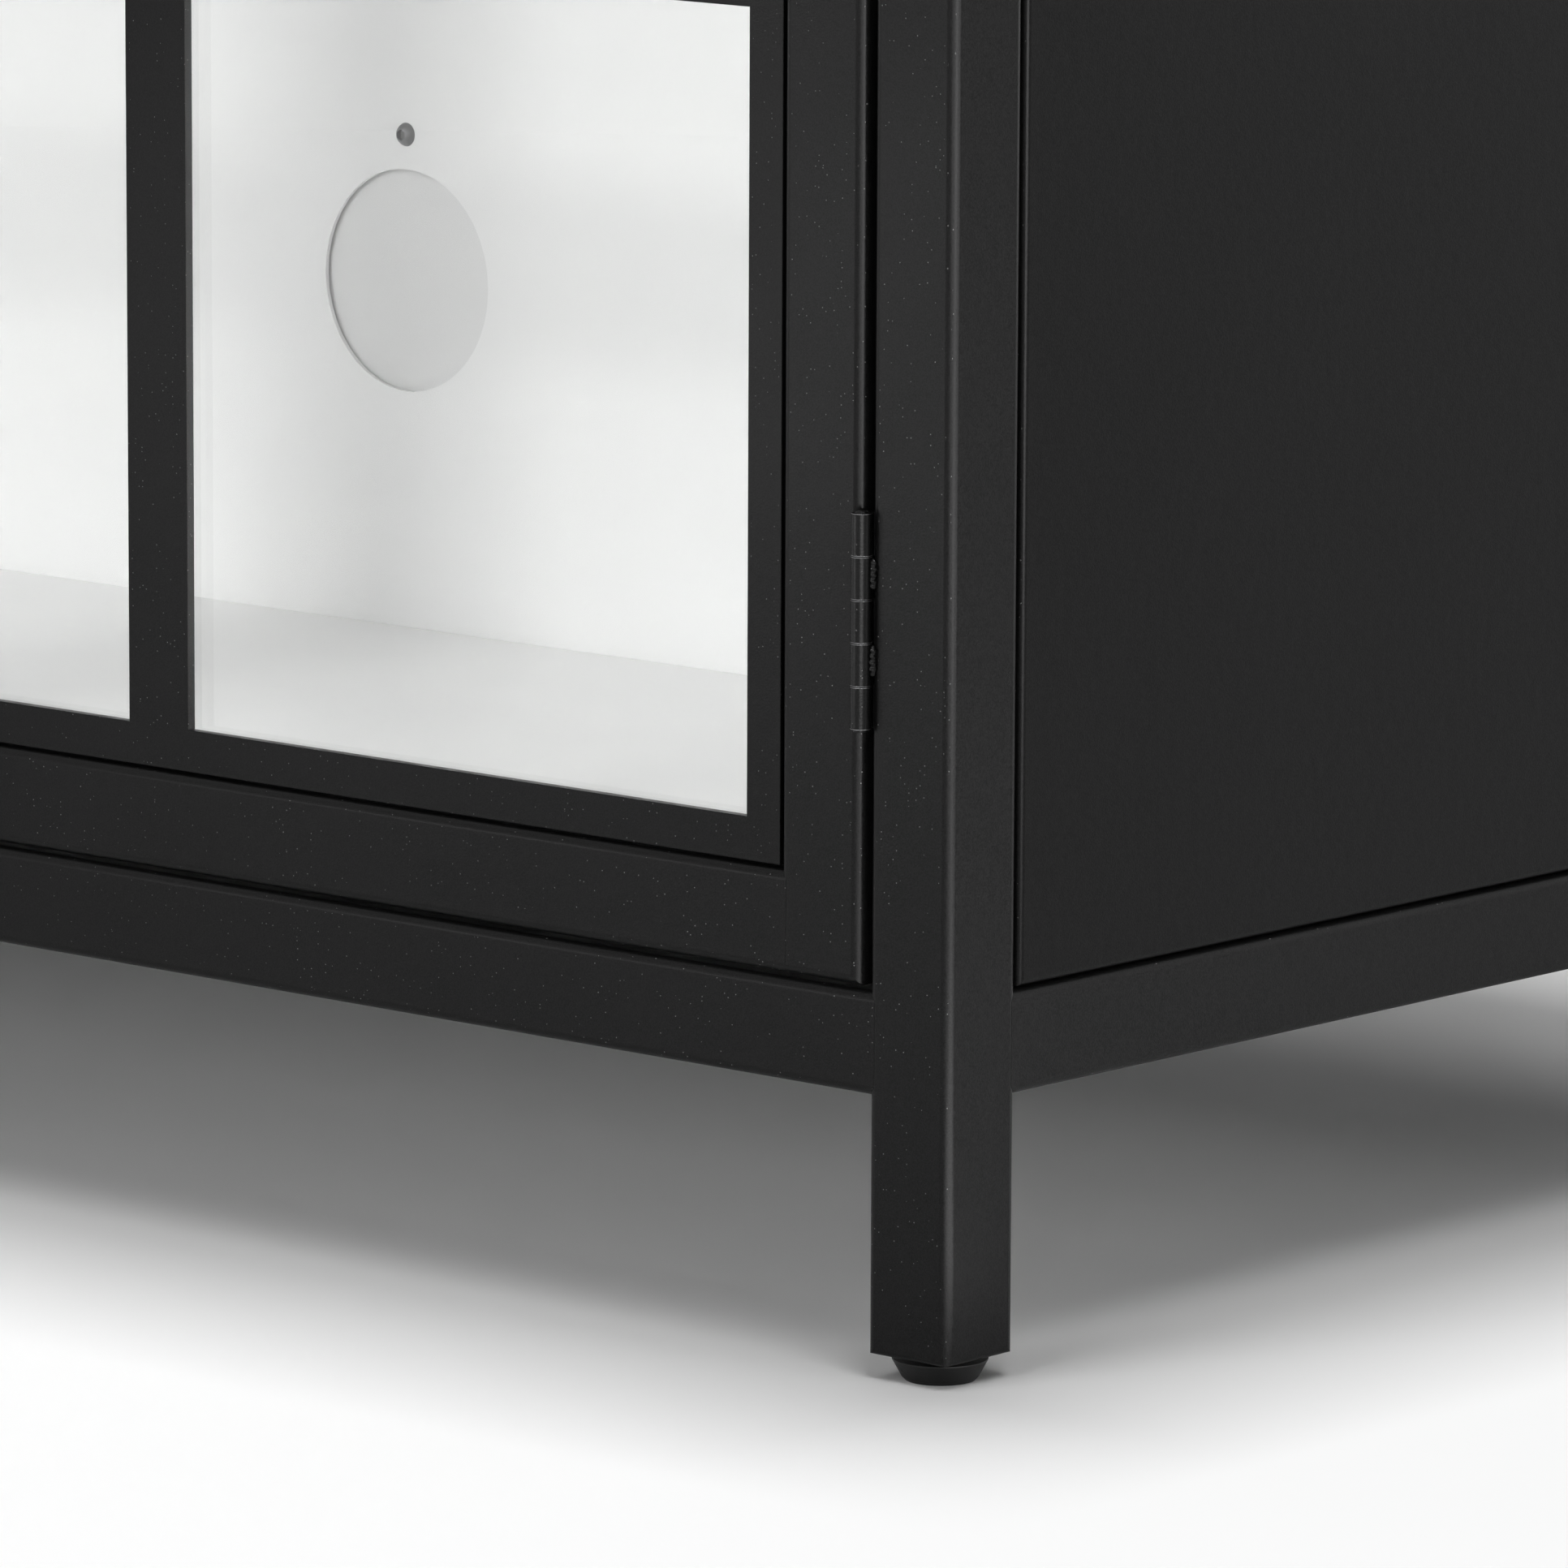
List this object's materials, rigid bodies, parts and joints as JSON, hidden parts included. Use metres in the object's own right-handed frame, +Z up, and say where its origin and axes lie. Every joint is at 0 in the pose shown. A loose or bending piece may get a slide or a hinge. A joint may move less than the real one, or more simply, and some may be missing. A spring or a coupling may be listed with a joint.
{
  "type": "glazed display cabinet",
  "caption": "Tall free-standing display cabinet: welded square-tube frame, lattice-glazed doors on barrel hinges, white interior with shelves, cable hole with cover, levelling feet.",
  "frame": {"origin": "on the floor, under the middle of the overall box", "axes": "+X to the right seen from the front, +Y to the back, +Z up"},
  "size_m": [0.99, 0.401, 1.88],
  "materials": {
    "black_coat": "black powder coat, satin, fine texture",
    "white_coat": "white stoved enamel, glossy",
    "white_board": "white lacquered board, satin",
    "glass": "clear float glass",
    "hinge_steel": "black coat over welded steel",
    "black_plastic": "black moulded plastic",
    "zinc": "bright zinc plate"
  },
  "bodies": {
    "cabinet": {"post_front_left": "black_coat", "post_front_right": "black_coat", "post_rear_left": "black_coat", "post_rear_right": "black_coat", "bottom_rail_front": "black_coat", "bottom_rail_rear": "black_coat", "bottom_rail_left": "black_coat", "bottom_rail_right": "black_coat", "top_rail_front": "black_coat", "top_rail_rear": "black_coat", "top_rail_left": "black_coat", "top_rail_right": "black_coat", "side_panel_left": "black_coat", "side_panel_right": "black_coat", "top_panel": "black_coat", "floor_panel": "white_coat", "ceiling_panel": "white_coat", "back_panel": "white_coat", "side_skin_left": "white_coat", "side_skin_right": "white_coat", "shelf_lower": "white_board", "shelf_middle": "white_board", "shelf_upper": "white_board", "shelf_pins": "zinc", "leg_inserts": "black_plastic", "hinge_frame_leaves": "hinge_steel", "hinge_pins": "hinge_steel", "catch_housing": "black_plastic", "catch_magnets": "zinc", "wall_anchors": "zinc", "cover_pivot_screw": "hinge_steel", "cover_spacer": "zinc", "cover_lock_nut": "zinc"},
    "cable_cover": {"cable_cover": "white_coat"},
    "door_left": {"door_left_hinge_stile": "black_coat", "door_left_meeting_stile": "black_coat", "door_left_top_rail": "black_coat", "door_left_bottom_rail": "black_coat", "door_left_grille": "black_coat", "door_left_glass": "glass", "door_left_glazing_stops": "black_coat", "door_left_hinge_leaves": "hinge_steel", "door_left_pull": "black_coat", "door_left_strike": "zinc"},
    "door_right": {"door_right_hinge_stile": "black_coat", "door_right_meeting_stile": "black_coat", "door_right_top_rail": "black_coat", "door_right_bottom_rail": "black_coat", "door_right_grille": "black_coat", "door_right_glass": "glass", "door_right_glazing_stops": "black_coat", "door_right_hinge_leaves": "hinge_steel", "door_right_pull": "black_coat", "door_right_strike": "zinc"},
    "foot_front_left": {"foot_front_left": "black_plastic"},
    "foot_front_right": {"foot_front_right": "black_plastic"},
    "foot_rear_left": {"foot_rear_left": "black_plastic"},
    "foot_rear_right": {"foot_rear_right": "black_plastic"}
  },
  "joints": [
    {"name": "door_left_swing", "type": "hinge", "parent": "cabinet", "child": "door_left", "pos_m": [-0.4685, -0.1679, 0.9743], "axis": [0, 0, -1], "range_deg": [0, 175]},
    {"name": "door_right_swing", "type": "hinge", "parent": "cabinet", "child": "door_right", "pos_m": [0.4685, -0.1679, 0.9743], "axis": [0, 0, 1], "range_deg": [0, 175]},
    {"name": "cable_cover_swing", "type": "hinge", "parent": "cabinet", "child": "cable_cover", "pos_m": [0, 0.1772, 0.2355], "axis": [0, 1, 0], "range_deg": [-120, 120]},
    {"name": "foot_front_left_screw", "type": "slide", "parent": "cabinet", "child": "foot_front_left", "axis": [0, 0, -1], "range_m": [-0.0006, 0.012]},
    {"name": "foot_front_right_screw", "type": "slide", "parent": "cabinet", "child": "foot_front_right", "axis": [0, 0, -1], "range_m": [-0.0006, 0.012]},
    {"name": "foot_rear_left_screw", "type": "slide", "parent": "cabinet", "child": "foot_rear_left", "axis": [0, 0, -1], "range_m": [-0.0006, 0.012]},
    {"name": "foot_rear_right_screw", "type": "slide", "parent": "cabinet", "child": "foot_rear_right", "axis": [0, 0, -1], "range_m": [-0.0006, 0.012]}
  ]
}
